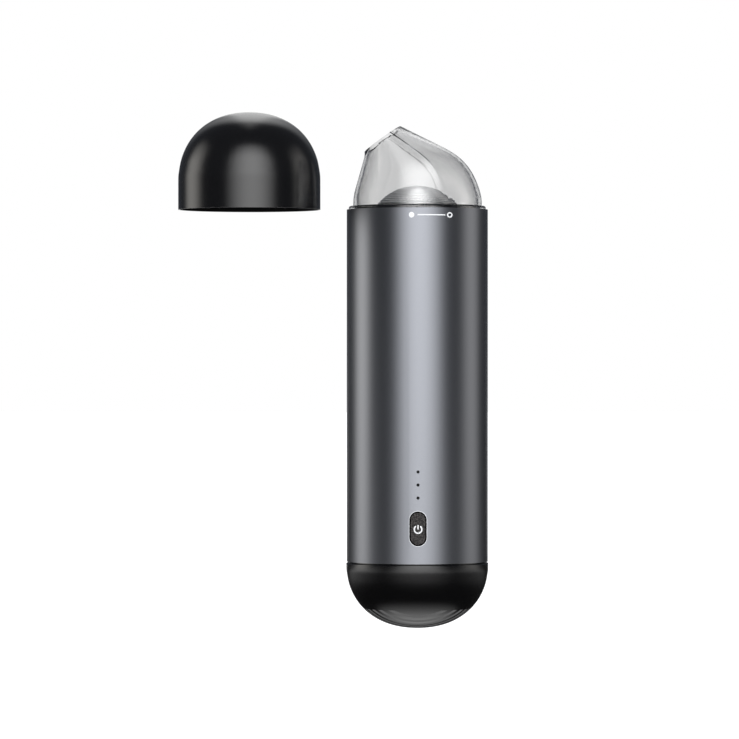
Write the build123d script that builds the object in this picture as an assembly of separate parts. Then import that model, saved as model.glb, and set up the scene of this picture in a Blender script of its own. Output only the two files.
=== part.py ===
from build123d import *
from math import acos, copysign, cos, degrees, pi, radians, sin, sqrt
import os

# Handheld capsule vacuum cleaner: an aluminium tube with a vented black tail, a clear dust cup
# with a slanted nozzle on top, and a black dome cap that is shown taken off beside the nozzle.
# Millimetres. The origin is the middle of the tube on its axis, +Z points to the nozzle,
# the power button faces -Y, and the cap stands off to -X.

# Body tube
TUBE_R = 33.5
TUBE_WALL = 1.2
TUBE_EDGE = 0.3

# Tail dome
TAIL_PROUD = 0.25
TAIL_HEIGHT = 31.1
TAIL_WALL = 2.2
TAIL_LAND = 2.0
TAIL_EDGE = 0.7
DOME_POWER = 2.2
SEAM_GAP = 0.5
SPIGOT_WALL = 1.5
SPIGOT_HEIGHT = 5.0
HOOK_COUNT = 4
HOOK_WIDTH = 7.0
HOOK_HEIGHT = 1.4
HOOK_REACH = 0.8
HOOK_BELOW_SPIGOT = 1.5
VENT_PITCH = 3.73
VENT_SIDE_COUNT = 6
VENT_WIDTH = 1.7
VENT_TOP_BELOW_TUBE = 22.2
FOAM_THICKNESS = 4.0
FOAM_LEDGE = 1.6
FOAM_LEDGE_WIDTH = 3.5

# Cap
CAP_SHIFT = 79.8
CAP_SKIRT = 12.4
CAP_DOME = 33.8
CAP_WALL = 2.0
CAP_REBATE_DEPTH = 2.0
CAP_EDGE = 0.3

# Dust cup
CUP_WALL = 2.0
CUP_FLANGE_INSET = 1.0
CUP_FLANGE_STEP = 2.0
CUP_FLANGE_HEIGHT = 1.6
CUP_FLANGE_ROUND = 0.9
CUP_SEAT_GAP = 0.1
CUP_SKIRT_DEPTH = 10.0
CUP_BACK_ARC = 63.5
CUP_BACK_RUN = 24.0
CUP_LIP_ARC = 15.8
CUP_LIP_RUN = 15.7
CUP_LIP_UPRIGHT = 2.3
CUP_SIDE_ARC = 28.0
CUP_SIDE_RUN = 15.8
CUP_CREASE_ALONG = 0.42
CUP_CREASE_WIDE = 0.96
CUP_CREASE_FULL = 0.4
CUP_CREASE_SOFT = 0.22
LUG_COUNT = 3
LUG_ARC = 12.0
LUG_HEIGHT = 2.4
LUG_REACH = 1.4
LUG_BELOW_TOP = 7.0
LOCK_TURN = 31.5
RING_MARK_ANGLE = -63.6
ORING_R = 0.65
ORING_BELOW_TOP = 3.0

# Seat collar in the top of the tube
COLLAR_RECESS = 0.6
COLLAR_HEIGHT = 15.0
COLLAR_FLOOR = 2.0
COLLAR_WALL = 2.4
INTAKE_R = 15.0

# Filter
FILTER_DECK_ABOVE_TUBE = 1.2
FILTER_DECK = 2.0
FILTER_DOME_R = 18.3
FILTER_DOME_SIDE = 1.4
FILTER_DOME_RISE = 8.1
FILTER_MESH = 0.7
BASKET_WALL = 1.4
BASKET_WINDOWS = 8
BASKET_WINDOW_WIDTH = 7.0
PLEAT_PITCH = 2.2
PLEAT_HEIGHT = 8.0
PLEAT_SHEET = 0.5
FILTER_SEAL = 1.0

# Fan housing and diffuser
FAN_HOUSING_WALL = 2.7
FAN_HOUSING_TOP = 2.0
FAN_EYE_R = 12.0
FAN_SKIRT = 6.0
FAN_BOSS_R = 2.2
FAN_SCREW_ANGLES = (30, 150, 270)
GASKET_THICKNESS = 1.0
GASKET_WIDTH = 3.0
GASKET_EDGE = 1.0
DIFFUSER_PLATE = 2.0
DIFFUSER_PLATE_GAP = 0.5
DIFFUSER_HUB_EDGE = 1.0
DIFFUSER_HUB = 4.0
DIFFUSER_RING = 1.4
DIFFUSER_VANES = 9
VANE_THICKNESS = 1.2
IMPELLER_EDGE_GAP = 1.5
IMPELLER_GAP = 1.0
IMPELLER_HEIGHT = 8.5
IMPELLER_PLATE = 1.2
IMPELLER_HUB_R = 5.0
IMPELLER_BLADES = 7
IMPELLER_TOP_GAP = 2.4
BLADE_BELOW_HUB = 1.0
NUT_R = 2.6
NUT_HEIGHT = 2.0
SHAFT_END = 0.6

# Motor
MOTOR_R = 14.0
MOTOR_LENGTH = 37.5
MOTOR_WALL = 1.0
SHAFT_R = 1.15
BUSHING_R = 3.0
BUSHING_BOSS_WALL = 1.2
BUSHING_LENGTH = 4.0
MAGNET_THICKNESS = 1.6
MAGNET_LENGTH = 22.0
MAGNET_ARC = 120.0
ARMATURE_R = 10.6
ARMATURE_LENGTH = 18.0
ARMATURE_HUB_R = 3.8
ARMATURE_GAP = 1.0
ARMATURE_POLES = 5
POLE_WIDTH = 2.4
POLE_TIP = 1.6
WINDING_WIDTH = 5.6
WINDING_OVERHANG = 1.8
COMMUTATOR_R = 3.6
COMMUTATOR_LENGTH = 5.0
BRUSH_SIZE = 3.0
BRUSH_LENGTH = 2.8
BRUSH_BOX_WALL = 1.0
BRUSH_BOX_DEPTH = 3.0
END_BELL = 2.4
MOTOR_MOUNT_WALL = 2.9
MOTOR_MOUNT_HEIGHT = 8.0
MOTOR_SCREW_R = 8.0

# Inner chassis, in two halves
CHASSIS_WALL = 1.6
CHASSIS_TOP_RIM = 3.6
CHASSIS_DECK = 2.0
CHASSIS_DECK_ABOVE_END = 1.5
MOUNT_GROOVE = 1.0
CHASSIS_SPLIT = 0.1
CHASSIS_SCREW_INSET = 6.2
LOW_SCREW_ABOVE_CELL_END = 10.0
HIGH_SCREW_ABOVE_DECK = 14.0
SCREW_BLOCK = 6.0
HOLDER_LEDGE = 2.0
HOLDER_LEDGE_X = 12.0
DECK_VENT_R = 4.5
DECK_VENTS = 6

# Battery
CELL_R = 9.15
CELL_LENGTH = 65.0
CELL_GAP = 0.9
CELL_TIP_R = 4.1
CELL_TIP = 1.0
CELL_Y = 3.0
CELLS_ABOVE_TUBE_END = 23.5
MOTOR_ABOVE_CELLS = 7.5
HOLDER_FLOOR = 1.6
HOLDER_RECESS = 2.2
HOLDER_NOTCH_GAP = 1.4
STRIP_THICKNESS = 0.3
STRIP_WIDTH = 7.0

# Button, lights and control board
BUTTON_ABOVE_SPIGOT = 2.36
BUTTON_WIDTH = 6.85
BUTTON_HEIGHT = 15.0
BUTTON_GAP = 0.2
BUTTON_TRAVEL = 0.5
BEZEL_WALL = 0.4
BEZEL_RECESS = 0.5
BEZEL_FLANGE = 1.1
BEZEL_FLANGE_THICKNESS = 1.0
BUTTON_FLANGE = 0.9
LIGHT_R = 0.7
LIGHT_COUNT = 3
LIGHT_PITCH = 6.1
LIGHTS_ABOVE_BUTTON = 14.4
LIGHT_BAR_WIDTH = 4.0
LIGHT_BAR_THICKNESS = 1.4
BOARD_BEHIND_BEZEL = 4.4
BOARD_THICKNESS = 1.6
BOARD_WIDTH = 24.0
BOARD_ABOVE_LIGHTS = 6.4
BOARD_BELOW_BUTTON = 4.5
BOARD_SCREW_X = 9.0
BOARD_SCREW_BELOW_TOP = 3.0
BOARD_POST = 4.0
BOARD_SCREW_BITE = 3.5
SWITCH_SIZE = 6.0
SWITCH_DEPTH = 2.0
PLUNGER_R = 1.5
PLUNGER_LENGTH = 1.7
LED_WIDTH = 1.6
LED_DEPTH = 0.6
LED_HEIGHT = 0.8
SOCKET_WIDTH = 12.0
SOCKET_SIDE = 4.0
SOCKET_PITCH = 8.0

# Charging socket at the back
PORT_BELOW_HOLDER = 4.0
PORT_WIDTH = 8.94
PORT_HEIGHT = 3.26
PORT_DEPTH = 7.35
PORT_SHELL = 0.3
PORT_TONGUE = 0.7
PORT_RECESS = 0.8
PORT_BOARD = 1.0
PORT_BOARD_SETBACK = 2.5
PORT_BOARD_WIDTH = 14.0
PORT_BOARD_LENGTH = 13.0
PORT_SHELF = 2.0
PORT_SHELF_WIDTH = 3.0

# Screws and wires
SCREW_R = 1.0
SCREW_HEAD_R = 1.9
SCREW_HEAD = 1.3
SCREW_LENGTH = 9.0
SCREW_DRIVE_R = 0.8
SCREW_DRIVE_DEPTH = 0.7
WIRE_R = 0.7
WIRE_X = 4.0
MOTOR_LEAD_Y = -5.0
WIRE_BEND = 2.2

# Clearances
FIT = 0.1
CUP_CLEARANCE = 0.3
RUNNING = 0.02
SLOT_CLEARANCE = 0.25

# Places that follow from the sizes
TUBE_LENGTH = (CELLS_ABOVE_TUBE_END + CELL_LENGTH + MOTOR_ABOVE_CELLS + MOTOR_LENGTH + DIFFUSER_HUB
               + IMPELLER_GAP + IMPELLER_HEIGHT + IMPELLER_TOP_GAP + FAN_HOUSING_TOP
               + COLLAR_HEIGHT + COLLAR_RECESS)
TOP = TUBE_LENGTH / 2
BOTTOM = -TUBE_LENGTH / 2
BORE_R = TUBE_R - TUBE_WALL
LINER_R = BORE_R - FIT
TAIL_R = TUBE_R + TAIL_PROUD
CAP_R = TAIL_R
TAIL_TOP = BOTTOM - SEAM_GAP
FOAM_TOP = TAIL_TOP - TAIL_LAND / 2
FOAM_BOTTOM = FOAM_TOP - FOAM_THICKNESS
SPIGOT_TOP = BOTTOM + SPIGOT_HEIGHT
HOOK_TOP = SPIGOT_TOP - HOOK_BELOW_SPIGOT
CHASSIS_IN_R = LINER_R - CHASSIS_WALL
CHASSIS_BOTTOM = BOTTOM + 2 * FIT + SEAM_GAP
CUP_FLANGE_R = TUBE_R - CUP_FLANGE_INSET
CUP_R = CUP_FLANGE_R - CUP_FLANGE_STEP
CUP_FLANGE_Z = TOP + CUP_SEAT_GAP
CUP_BASE_Z = CUP_FLANGE_Z + CUP_FLANGE_HEIGHT
COLLAR_THROAT_R = LINER_R - COLLAR_WALL
SKIRT_R = COLLAR_THROAT_R - CUP_CLEARANCE
SKIRT_IN_R = SKIRT_R - CUP_WALL
COLLAR_TOP = TOP - COLLAR_RECESS
COLLAR_BOTTOM = COLLAR_TOP - COLLAR_HEIGHT
COLLAR_FLOOR_TOP = COLLAR_BOTTOM + COLLAR_FLOOR
LUG_Z = TOP - LUG_BELOW_TOP
FILTER_R = SKIRT_IN_R - CUP_CLEARANCE
FILTER_DECK_TOP = TOP + FILTER_DECK_ABOVE_TUBE
FILTER_SEAL_BOTTOM = COLLAR_FLOOR_TOP + 2 * FIT
BASKET_BOTTOM = FILTER_SEAL_BOTTOM + FILTER_SEAL
BASKET_R = FILTER_DOME_R + FIT
FAN_TOP = COLLAR_BOTTOM
FAN_IN_R = LINER_R - FAN_HOUSING_WALL
FAN_SCREW_R = COLLAR_THROAT_R - SCREW_HEAD_R - 2 * FIT
DIFFUSER_PLATE_R = FAN_SCREW_R - FAN_BOSS_R - DIFFUSER_PLATE_GAP
IMPELLER_R = DIFFUSER_PLATE_R - IMPELLER_EDGE_GAP
IMPELLER_TOP = FAN_TOP - FAN_HOUSING_TOP - IMPELLER_TOP_GAP
IMPELLER_BOTTOM = IMPELLER_TOP - IMPELLER_HEIGHT
DIFFUSER_TOP = IMPELLER_BOTTOM - IMPELLER_GAP
MOTOR_TOP = DIFFUSER_TOP - DIFFUSER_HUB
MOTOR_BOTTOM = MOTOR_TOP - MOTOR_LENGTH
FAN_BOTTOM = MOTOR_TOP - FAN_SKIRT
CHASSIS_TOP = FAN_BOTTOM
CHASSIS_DECK_LEVEL = MOTOR_BOTTOM + CHASSIS_DECK_ABOVE_END
BUSHING_BOSS_R = BUSHING_R + BUSHING_BOSS_WALL
LOWER_BUSHING = MOTOR_BOTTOM - END_BELL / 2
COMMUTATOR_Z = LOWER_BUSHING + BUSHING_LENGTH + COMMUTATOR_LENGTH / 2 + 4 * FIT
ARMATURE_Z = COMMUTATOR_Z + (COMMUTATOR_LENGTH + ARMATURE_LENGTH) / 2 + WINDING_OVERHANG + ARMATURE_GAP
MOUNT_R = MOTOR_R + FIT + MOTOR_MOUNT_WALL
CELL_BOTTOM = BOTTOM + CELLS_ABOVE_TUBE_END
CELL_TOP = CELL_BOTTOM + CELL_LENGTH
CELL_SPACING = 2 * CELL_R + CELL_GAP
HOLDER_R = CHASSIS_IN_R - CUP_CLEARANCE
HOLDER_LOW = CELL_BOTTOM - STRIP_THICKNESS - FIT - HOLDER_FLOOR
HOLDER_HIGH = CELL_TOP + STRIP_THICKNESS + FIT + HOLDER_FLOOR
CHASSIS_SCREW_X = LINER_R - CHASSIS_SCREW_INSET
CHASSIS_SCREW_LEVELS = (CELL_BOTTOM + LOW_SCREW_ABOVE_CELL_END, CHASSIS_DECK_LEVEL + HIGH_SCREW_ABOVE_DECK)
BEZEL_WIDTH = BUTTON_WIDTH + 2 * (BUTTON_GAP + BEZEL_WALL)
BEZEL_HEIGHT = BUTTON_HEIGHT + 2 * (BUTTON_GAP + BEZEL_WALL)
HOLE_WIDTH = BEZEL_WIDTH + FIT
HOLE_HEIGHT = BEZEL_HEIGHT + FIT
FLANGE_WIDTH = BEZEL_WIDTH + 2 * BEZEL_FLANGE
FLANGE_HEIGHT = BEZEL_HEIGHT + 2 * BEZEL_FLANGE
FLANGE_FRONT_Y = FIT - sqrt(CHASSIS_IN_R**2 - (FLANGE_WIDTH / 2)**2)
BEZEL_REAR_Y = FLANGE_FRONT_Y + BEZEL_FLANGE_THICKNESS
BUTTON_Z = SPIGOT_TOP + BUTTON_ABOVE_SPIGOT + FLANGE_HEIGHT / 2
LIGHT_LEVELS = [BUTTON_Z + LIGHTS_ABOVE_BUTTON + k * LIGHT_PITCH for k in range(LIGHT_COUNT)]
BOARD_FRONT_Y = BEZEL_REAR_Y + BOARD_BEHIND_BEZEL
BOARD_BACK_Y = BOARD_FRONT_Y + BOARD_THICKNESS
BOARD_TOP = LIGHT_LEVELS[-1] + BOARD_ABOVE_LIGHTS
BOARD_BOTTOM = BUTTON_Z - BOARD_BELOW_BUTTON
BOARD_SCREW_Z = BOARD_TOP - BOARD_SCREW_BELOW_TOP
SOCKET_BACK_Y = BOARD_BACK_Y + SOCKET_SIDE
HOLDER_NOTCH_Y = SOCKET_BACK_Y + HOLDER_NOTCH_GAP
SWITCH_FRONT_Y = BOARD_FRONT_Y - SWITCH_DEPTH
PLUNGER_FRONT_Y = SWITCH_FRONT_Y - 3 * FIT - BUTTON_TRAVEL
PORT_Z = HOLDER_LOW - PORT_BELOW_HOLDER
PORT_FACE_Y = TUBE_R - PORT_RECESS
PORT_BOARD_Z = PORT_Z - (PORT_HEIGHT + PORT_BOARD) / 2
PORT_BOARD_BACK_Y = PORT_FACE_Y - PORT_BOARD_SETBACK
LOW = (Align.CENTER, Align.CENTER, Align.MIN)


def disc(radius, bottom, top):
    return Pos(0, 0, bottom) * Cylinder(radius, top - bottom, align=LOW)


def ring(outer, inner, bottom, top):
    return disc(outer, bottom, top) - disc(inner, bottom - 1, top + 1)


def block(x0, x1, y0, y1, z0, z1):
    centre = Pos((x0 + x1) / 2, (y0 + y1) / 2, (z0 + z1) / 2)
    return centre * Box(x1 - x0, y1 - y0, z1 - z0)


def rod_y(radius, x, z, y0, y1):
    return Pos(x, y0, z) * Rot(-90, 0, 0) * Cylinder(radius, y1 - y0, align=LOW)


def around(count, shape, start=0.0):
    return [Rot(0, 0, start + 360 * k / count) * shape for k in range(count)]


def sector(outer, inner, bottom, top, middle, arc):
    wedge_r = outer * 1.5
    half = radians(arc / 2)
    centre = radians(middle)
    corners = [(0, 0)]
    for side in (-1, 0, 1):
        corners.append((wedge_r * cos(centre + side * half), wedge_r * sin(centre + side * half)))
    wedge = Pos(0, 0, bottom) * extrude(make_face(Polyline(*corners, close=True)), top - bottom)
    return ring(outer, inner, bottom, top) & wedge


def stadium_y(width, height, z, y0, y1):
    """A slab with round ends, long side upright, cut out along Y."""
    slab = extrude(Plane.XZ.offset(-y0) * SlotOverall(height, width, rotation=90), -(y1 - y0))
    return Pos(0, 0, z) * slab


def dome_points(radius, height, level, steps=12):
    """Points down a superellipse from its pole to its equator at the given level."""
    points = []
    for k in range(steps + 1):
        angle = pi / 2 * k / steps
        across = radius * sin(angle)**(2 / DOME_POWER)
        up = height * cos(angle)**(2 / DOME_POWER) if k < steps else 0.0
        points.append((across, 0, level + up))
    return points


def dome(radius, height, level):
    """A solid superellipse dome; a negative height points it down."""
    points = dome_points(radius, height, level)
    side = Vector(0, 0, -copysign(1, height))
    curve = Spline(*points, tangents=[(1, 0, 0), side])
    edges = [curve, Line(points[-1], (0, 0, level)), Line((0, 0, level), points[0])]
    return revolve(make_face(edges), Axis.Z)


def screw(length=SCREW_LENGTH):
    """A pan-head screw along +Z with its head on top and the bearing face at Z = 0."""
    head = disc(SCREW_HEAD_R, 0, SCREW_HEAD)
    drive = extrude(Pos(0, 0, SCREW_HEAD) * RegularPolygon(SCREW_DRIVE_R, 6), -SCREW_DRIVE_DEPTH)
    return head + disc(SCREW_R, -length, 0) - drive


def lug_angle(index):
    return RING_MARK_ANGLE + 360 * index / LUG_COUNT


# Tube and tail

def body_tube():
    tube = ring(TUBE_R, BORE_R, BOTTOM, TOP)
    tube = chamfer(tube.edges().filter_by(GeomType.CIRCLE).group_by(Axis.Z)[-1][-1:], TUBE_EDGE)
    tube -= stadium_y(HOLE_WIDTH, HOLE_HEIGHT, BUTTON_Z, -TUBE_R - 1, 0)
    for level in LIGHT_LEVELS:
        tube -= rod_y(LIGHT_R + FIT / 2, 0, level, -TUBE_R - 1, 0)
    tube -= port_hole(TUBE_R + 1)
    return tube


def port_hole(reach):
    slot = SlotOverall(PORT_WIDTH + 4 * FIT, PORT_HEIGHT + 4 * FIT)
    return Pos(0, 0, PORT_Z) * extrude(Plane.XZ * slot, -reach)


def tail_cap():
    shell = dome(TAIL_R, -TAIL_HEIGHT, TAIL_TOP)
    shell = fillet(shell.edges().group_by(Axis.Z)[-1], TAIL_EDGE)
    shell -= dome(TAIL_R - TAIL_WALL, TAIL_WALL - TAIL_HEIGHT, TAIL_TOP)
    land_in = CHASSIS_IN_R - FIT - SPIGOT_WALL
    spigot_r = CHASSIS_IN_R - FIT
    shell += ring(TAIL_R - TAIL_WALL / 2, land_in, TAIL_TOP - TAIL_LAND, TAIL_TOP)
    shell += ring(LINER_R, land_in, FOAM_TOP, CHASSIS_BOTTOM - FIT)
    shell += ring(spigot_r, land_in, FOAM_TOP, SPIGOT_TOP)
    arc = degrees(HOOK_WIDTH / spigot_r)
    hook = sector(spigot_r + HOOK_REACH, land_in, HOOK_TOP - HOOK_HEIGHT, HOOK_TOP, 0, arc)
    for piece in around(HOOK_COUNT, hook, 180 / HOOK_COUNT):
        shell += piece
    ledge_r = foam_radius() + TAIL_WALL / 2
    ledge = ring(ledge_r, ledge_r - FOAM_LEDGE_WIDTH, FOAM_BOTTOM - FOAM_LEDGE, FOAM_BOTTOM)
    shell += ledge & dome(TAIL_R - TAIL_WALL / 2, -TAIL_HEIGHT, TAIL_TOP)
    vent_top = BOTTOM - VENT_TOP_BELOW_TUBE
    for k in range(-VENT_SIDE_COUNT, VENT_SIDE_COUNT + 1):
        y = k * VENT_PITCH
        shell -= block(-TAIL_R, TAIL_R, y - VENT_WIDTH / 2, y + VENT_WIDTH / 2,
                       TAIL_TOP - TAIL_HEIGHT - 1, vent_top)
    return shell


def foam_radius():
    """The foam fits the dome where its lower face lies."""
    drop = (TAIL_TOP - FOAM_BOTTOM) / (TAIL_HEIGHT - TAIL_WALL)
    inside = TAIL_R - TAIL_WALL
    return inside * (1 - drop**DOME_POWER)**(1 / DOME_POWER) - 2 * FIT


def exhaust_filter():
    lower = disc(foam_radius(), FOAM_BOTTOM, TAIL_TOP - TAIL_LAND)
    neck = disc(CHASSIS_IN_R - 2 * FIT - SPIGOT_WALL, TAIL_TOP - TAIL_LAND, FOAM_TOP)
    return lower + neck


# Cap, drawn over the tube's axis and then set beside the nozzle

def cap():
    shell = disc(CAP_R, TOP, TOP + CAP_SKIRT) + dome(CAP_R, CAP_DOME, TOP + CAP_SKIRT)
    inner = CAP_R - CAP_WALL
    hollow = disc(inner, TOP - 1, TOP + CAP_SKIRT)
    hollow += dome(inner, CAP_DOME - CAP_WALL, TOP + CAP_SKIRT)
    shell -= hollow
    shell -= disc(CUP_FLANGE_R + CUP_CLEARANCE, TOP - 1, TOP + CAP_REBATE_DEPTH)
    rim = shell.edges().filter_by(GeomType.CIRCLE).group_by(Axis.Z)[0][-1:]
    shell = fillet(rim, CAP_EDGE)
    return Pos(-CAP_SHIFT, 0, 0) * shell


# Dust cup

def profile_point(share, arc, run, upright=0.0):
    """Walk up one side of the cup: an arc about the base centre, its tangent, then upright."""
    angle = radians(arc)
    bend = CUP_R * angle
    along = share * (bend + run + upright)
    if along < bend:
        return CUP_R * cos(along / CUP_R), CUP_R * sin(along / CUP_R)
    past = min(along - bend, run)
    rise = max(along - bend - run, 0)
    return CUP_R * cos(angle) - past * sin(angle), CUP_R * sin(angle) + past * cos(angle) + rise


def cup_outline(share):
    """Half of a section's outline, lip to crease and crease to back, as shares of its half widths.

    The points close to the crease keep its bend tight, and yet it stays a soft one.
    """
    crease = min(share / CUP_CREASE_FULL, 1.0)
    crease = crease**2 * (3 - 2 * crease)
    corner = acos(CUP_CREASE_ALONG)
    steps = 10
    wall = []
    for k in (*range(steps), steps - CUP_CREASE_SOFT, steps):
        angle = pi + (corner - pi) * k / steps
        deep = sin(angle)
        if angle < pi / 2:
            past = (pi / 2 - angle) / (pi / 2 - corner)
            deep += crease * (1 - (1 - CUP_CREASE_WIDE) * past**2 - deep)
        wall.append((cos(angle), deep))
    corner_deep = wall[-1][1]
    roof = []
    for k in (CUP_CREASE_SOFT, *range(1, steps // 2 + 1)):
        part = 1 - 2 * k / steps
        along = sqrt(1 - (sin(corner) * part)**2)
        along += crease * (1 - (1 - CUP_CREASE_ALONG) * part**2 - along)
        roof.append((along, corner_deep * part))
    return wall, roof


def cup_section(share, inset):
    """One slanted section of the cup, from the round base to the wide mouth."""
    back_x, back_z = profile_point(share, CUP_BACK_ARC, CUP_BACK_RUN)
    lip_x, lip_z = profile_point(share, CUP_LIP_ARC, CUP_LIP_RUN, CUP_LIP_UPRIGHT)
    half_depth = profile_point(share, CUP_SIDE_ARC, CUP_SIDE_RUN)[0] - inset
    lip = Vector(-lip_x, 0, CUP_BASE_Z + lip_z)
    back = Vector(back_x, 0, CUP_BASE_Z + back_z)
    centre = (lip + back) * 0.5
    along = (back - lip).normalized() * ((back - lip).length / 2 - inset)
    wall, roof = cup_outline(share)
    front = [(u, -v) for u, v in reversed(wall)] + wall[1:]
    top = [wall[-1]] + roof + [(u, -v) for u, v in reversed(roof[:-1])] + [front[0]]
    front = [centre + along * u + Vector(0, half_depth * v, 0) for u, v in front]
    top = [centre + along * u + Vector(0, half_depth * v, 0) for u, v in top]
    turn = (front[-1] - front[-2]).normalized() + (top[1] - top[0]).normalized()
    mirrored = Vector(-turn.X, turn.Y, -turn.Z)
    return make_face([Spline(*front, tangents=[mirrored, turn]), Spline(*top, tangents=[turn, mirrored])])


def cup_loft(inset):
    shares = (0, 0.15, 0.3, 0.45, 0.6, 0.75, 0.85, 0.93, 1.0)
    return loft([cup_section(share, inset) for share in shares])


def dust_cup():
    flange = disc(CUP_FLANGE_R, CUP_FLANGE_Z, CUP_BASE_Z)
    flange = fillet(flange.edges().group_by(Axis.Z)[-1], CUP_FLANGE_ROUND)
    cup = flange + disc(SKIRT_R, CUP_FLANGE_Z - CUP_SKIRT_DEPTH, CUP_FLANGE_Z)
    cup -= disc(SKIRT_IN_R, CUP_FLANGE_Z - CUP_SKIRT_DEPTH - 1, CUP_BASE_Z)
    groove_z = CUP_FLANGE_Z - ORING_BELOW_TOP
    half = ORING_R + FIT
    cup -= ring(SKIRT_R + 1, oring_centre() - ORING_R - FIT / 2, groove_z - half, groove_z + half)
    cup += cup_loft(0) - cup_loft(CUP_WALL)
    for k in range(LUG_COUNT):
        cup += sector(SKIRT_R + LUG_REACH, SKIRT_R - CUP_WALL / 2, LUG_Z - LUG_HEIGHT / 2,
                      LUG_Z + LUG_HEIGHT / 2, lug_angle(k), LUG_ARC)
    return cup


def oring_centre():
    return COLLAR_THROAT_R - FIT - ORING_R


def cup_seal():
    return Pos(0, 0, CUP_FLANGE_Z - ORING_BELOW_TOP) * Torus(oring_centre(), ORING_R)


def seat_collar():
    collar = ring(LINER_R, COLLAR_THROAT_R, COLLAR_BOTTOM, COLLAR_TOP)
    collar += ring(LINER_R, INTAKE_R, COLLAR_BOTTOM, COLLAR_FLOOR_TOP)
    depth = SKIRT_R + LUG_REACH + CUP_CLEARANCE
    low = LUG_Z - LUG_HEIGHT / 2 - SLOT_CLEARANCE
    high = LUG_Z + LUG_HEIGHT / 2 + SLOT_CLEARANCE
    side = degrees(SLOT_CLEARANCE / SKIRT_R) * 2
    for k in range(LUG_COUNT):
        entry = lug_angle(k)
        collar -= sector(depth, INTAKE_R, low, COLLAR_TOP + 1, entry, LUG_ARC + side)
        collar -= sector(depth, INTAKE_R, low, high, entry - LOCK_TURN / 2,
                         LUG_ARC + side + LOCK_TURN)
    for place in fan_screw_places():
        collar -= Pos(*place, 0) * disc(SCREW_R + FIT, COLLAR_BOTTOM - 1, COLLAR_FLOOR_TOP + 1)
    return collar


def fan_screw_places():
    return [(FAN_SCREW_R * cos(radians(angle)), FAN_SCREW_R * sin(radians(angle)))
            for angle in FAN_SCREW_ANGLES]


def collar_screws():
    return [Pos(x, y, COLLAR_FLOOR_TOP) * screw() for x, y in fan_screw_places()]


# Filter, which sits inside the cup's skirt

def filter_frame():
    frame = ring(FILTER_R, BASKET_R - BASKET_WALL, FILTER_DECK_TOP - FILTER_DECK, FILTER_DECK_TOP)
    frame += ring(BASKET_R, BASKET_R - BASKET_WALL, BASKET_BOTTOM, FILTER_DECK_TOP)
    frame += ring(BASKET_R, INTAKE_R, BASKET_BOTTOM, BASKET_BOTTOM + BASKET_WALL)
    low = BASKET_BOTTOM + 2 * BASKET_WALL
    high = FILTER_DECK_TOP - FILTER_DECK - BASKET_WALL
    half = BASKET_WINDOW_WIDTH / 2
    window = block(INTAKE_R, BASKET_R + 1, -half, half, low, high)
    for piece in around(BASKET_WINDOWS, window):
        frame -= piece
    return frame


def lens(radius, rise, level):
    """The part of a ball above a level, as wide and as high as asked."""
    ball = (radius**2 + rise**2) / (2 * rise)
    return Pos(0, 0, level + rise - ball) * Sphere(ball) & disc(ball, level, level + ball)


def filter_dome():
    side_top = FILTER_DECK_TOP + FILTER_DOME_SIDE
    inner = FILTER_DOME_R - FILTER_MESH
    shell = disc(FILTER_DOME_R, FILTER_DECK_TOP, side_top)
    shell += lens(FILTER_DOME_R, FILTER_DOME_RISE, side_top)
    shell -= disc(inner, FILTER_DECK_TOP - 1, side_top)
    shell -= lens(inner, FILTER_DOME_RISE - FILTER_MESH, side_top)
    return shell


def filter_pleats():
    radius = BASKET_R - BASKET_WALL - FIT
    count = int(2 * radius / PLEAT_PITCH)
    low = BASKET_BOTTOM + BASKET_WALL + PLEAT_SHEET
    start = -count * PLEAT_PITCH / 2
    zigzag = [(start + k * PLEAT_PITCH / 2, 0, low + PLEAT_HEIGHT * (k % 2))
              for k in range(2 * count + 1)]
    upper = [(x, 0, z + PLEAT_SHEET * PLEAT_HEIGHT / PLEAT_PITCH) for x, _, z in zigzag]
    outline = make_face(Polyline(*zigzag, *reversed(upper), close=True))
    sheet = extrude(outline, radius, both=True)
    top = low + PLEAT_HEIGHT + PLEAT_SHEET
    return sheet & disc(radius, low - PLEAT_SHEET, top)


def filter_seal():
    return ring(BASKET_R, INTAKE_R + FIT, FILTER_SEAL_BOTTOM, BASKET_BOTTOM)


# Fan and diffuser

def fan_housing():
    roof = FAN_TOP - FAN_HOUSING_TOP
    housing = ring(LINER_R, FAN_IN_R, FAN_BOTTOM, FAN_TOP)
    housing += ring(LINER_R, FAN_EYE_R, roof, FAN_TOP)
    low = roof - SCREW_LENGTH
    for angle in FAN_SCREW_ANGLES:
        boss = Pos(FAN_SCREW_R, 0, 0) * disc(FAN_BOSS_R, low, roof)
        boss += block(FAN_SCREW_R, LINER_R, -FAN_BOSS_R, FAN_BOSS_R, low, roof)
        housing += Rot(0, 0, angle) * (boss & disc(LINER_R - FAN_HOUSING_WALL / 2, low, roof))
    for x, y in fan_screw_places():
        housing -= Pos(x, y, 0) * disc(SCREW_R + RUNNING, roof - SCREW_LENGTH - 1, FAN_TOP + 1)
    housing -= ring(gasket_r() + FIT, gasket_r() - GASKET_WIDTH - FIT,
                    FAN_TOP - GASKET_THICKNESS, FAN_TOP + 1)
    return housing


def gasket_r():
    return INTAKE_R + GASKET_WIDTH + GASKET_EDGE


def intake_gasket():
    return ring(gasket_r(), gasket_r() - GASKET_WIDTH, FAN_TOP - GASKET_THICKNESS, FAN_TOP)


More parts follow.
